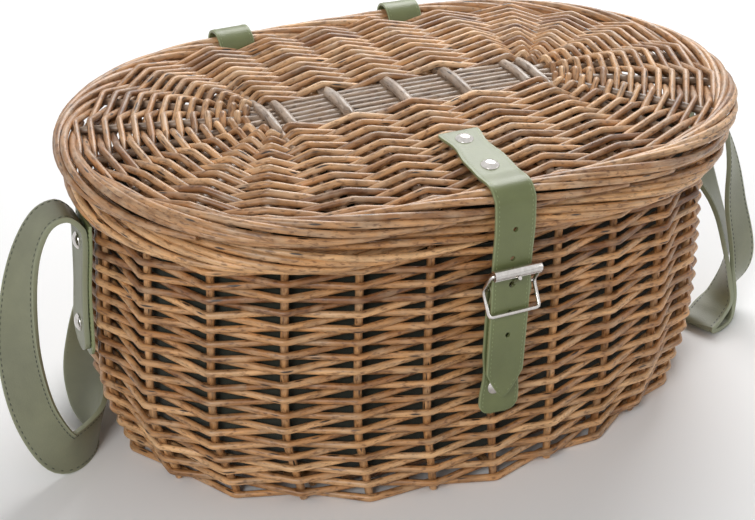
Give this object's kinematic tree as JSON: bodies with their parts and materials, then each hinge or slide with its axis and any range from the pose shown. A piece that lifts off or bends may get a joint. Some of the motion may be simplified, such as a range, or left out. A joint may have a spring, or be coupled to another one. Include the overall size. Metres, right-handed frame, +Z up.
{
  "type": "picnic basket",
  "caption": "Oval woven willow hamper with a hinged woven lid, cloth lining, leather hinge loops, buckled leather closure strap and leather shoulder strap.",
  "frame": {"origin": "centre of the bounding box's footprint, on the floor", "axes": "+X along the basket's long axis, -Y towards the buckle at the front, +Y towards the hinge loops, +Z up"},
  "size_m": [0.5972, 0.3587, 0.2396],
  "materials": {
    "willow": "satin",
    "border_willow": "satin",
    "peeled_willow": "satin",
    "green_leather": "satin",
    "lining_cloth": "matt",
    "nickel": "polished"
  },
  "bodies": {
    "basket": {"lining": "lining_cloth", "bottom_weave": "willow", "bottom_sticks": "willow", "side_stakes": "willow", "foot_weave": "willow", "side_weave": "willow", "rim_border": "border_willow", "left_hinge_loop": "green_leather", "right_hinge_loop": "green_leather", "buckle_strap": "green_leather", "buckle_strap_rivets": "nickel", "left_end_patch": "green_leather", "right_end_patch": "green_leather", "shoulder_strap": "green_leather", "left_patch_rivets": "nickel", "right_patch_rivets": "nickel"},
    "lid": {"lid_border": "border_willow", "lid_cross_sticks": "peeled_willow", "lid_long_rods": "peeled_willow", "lid_weave": "border_willow", "closure_strap": "green_leather", "closure_strap_rivets": "nickel"},
    "strap_end": {"closure_tail": "green_leather"},
    "buckle": {"buckle_frame": "nickel"},
    "roller": {"buckle_roller": "nickel"},
    "prong": {"buckle_prong": "nickel"}
  },
  "joints": [
    {"name": "lid_hinge", "type": "hinge", "parent": "basket", "child": "lid", "pos_m": [0, 0.1593, 0.2231], "axis": [-1, 0, 0], "range_deg": [0, 105], "deforming": ["closure_tail"]},
    {"name": "strap_bend", "type": "hinge", "parent": "lid", "child": "strap_end", "pos_m": [0, -0.1716, 0.21], "axis": [1, 0, 0], "range_deg": [0, 105]},
    {"name": "buckle_turn", "type": "hinge", "parent": "basket", "child": "buckle", "pos_m": [0, -0.16298, 0.161], "axis": [1, 0, 0], "range_deg": [0, 15]},
    {"name": "prong_turn", "type": "hinge", "parent": "buckle", "child": "prong", "pos_m": [0, -0.16298, 0.161], "axis": [1, 0, 0], "range_deg": [0, 60]},
    {"name": "roller_spin", "type": "hinge", "parent": "buckle", "child": "roller", "pos_m": [0, -0.17398, 0.1768], "axis": [1, 0, 0], "continuous": true}
  ],
  "couplings": [
    {"joint": "strap_bend", "follows": "lid_hinge", "ratio": 1}
  ]
}
